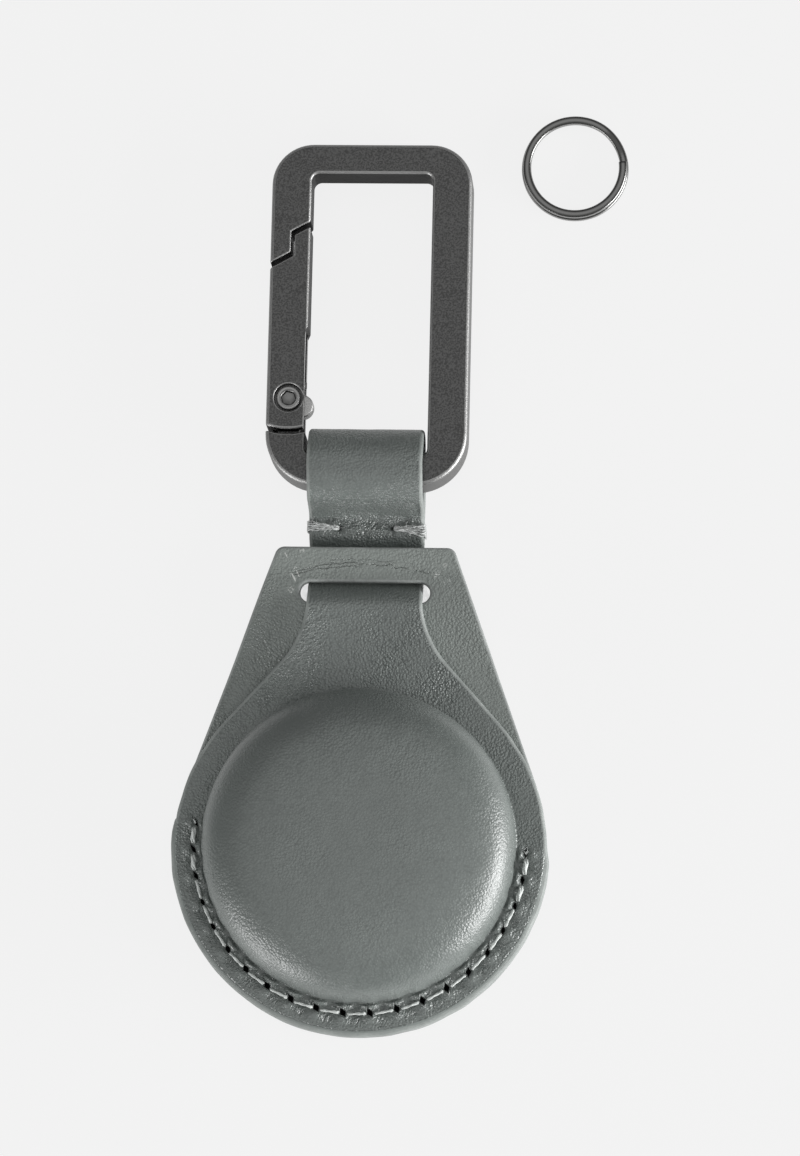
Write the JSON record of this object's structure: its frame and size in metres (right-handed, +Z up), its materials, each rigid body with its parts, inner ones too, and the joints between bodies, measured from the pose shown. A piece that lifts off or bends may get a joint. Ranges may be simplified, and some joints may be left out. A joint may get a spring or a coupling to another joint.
{
  "type": "tracker tag holder",
  "caption": "Leather key fob with a moulded pocket for a round tracker tag, a strap loop through a slotted back cover, a rectangular gated carabiner and a loose split ring.",
  "frame": {"origin": "on the surface the holder lies on, under the centre of the round tag pocket, at the back cover's flat back", "axes": "+X to the right seen from the front, +Y along the strap towards the carabiner, +Z up out of the moulded dome"},
  "size_m": [0.0502, 0.1056, 0.0109],
  "materials": {
    "leather_front": "smooth semi-aniline calf leather, satin",
    "leather_back": "smooth calf leather, creased and scuffed",
    "thread": "waxed twisted polyester thread",
    "tack_thread": "twisted polyester thread",
    "gunmetal": "fine bead-blasted gunmetal plating with polished edges",
    "screw_steel": "satin gunmetal plating",
    "spring_wire": "bright drawn wire",
    "ring_wire": "polished gunmetal plating"
  },
  "bodies": {
    "holder": {"front_cover": "leather_front", "back_cover_inner": "leather_back", "back_cover_outer": "leather_back", "seam_thread_front": "thread", "seam_thread_back": "thread", "loop_tack_left": "tack_thread", "loop_tack_right": "tack_thread"},
    "carabiner": {"carabiner_frame": "gunmetal"},
    "gate": {"gate": "gunmetal", "pivot_screw": "screw_steel", "gate_spring": "spring_wire"},
    "plunger": {"gate_plunger": "screw_steel"},
    "key_ring": {"key_ring": "ring_wire"}
  },
  "joints": [
    {"name": "carabiner_swing", "type": "hinge", "parent": "holder", "child": "carabiner", "pos_m": [0, 0.04196, 0.00403], "axis": [1, 0, 0], "range_deg": [-130, 150]},
    {"name": "gate_hinge", "type": "hinge", "parent": "carabiner", "child": "gate", "pos_m": [-0.0089, 0.0503, 0.00364], "axis": [0, -0.0472, -0.9989], "range_deg": [0, 32], "stiffness_Nm_per_rad": 0.01, "springref_deg": -34.38},
    {"name": "plunger_slide", "type": "slide", "parent": "gate", "child": "plunger", "axis": [0, 0.9989, -0.0472], "range_m": [0, 0.0008], "deforming": ["gate_spring"]},
    {"name": "ring_lift", "type": "slide", "parent": "holder", "child": "key_ring", "axis": [0, 0, 1], "range_m": [0, 0.02]}
  ],
  "couplings": [
    {"joint": "plunger_slide", "follows": "gate_hinge", "m_per_rad": 0.00124}
  ]
}
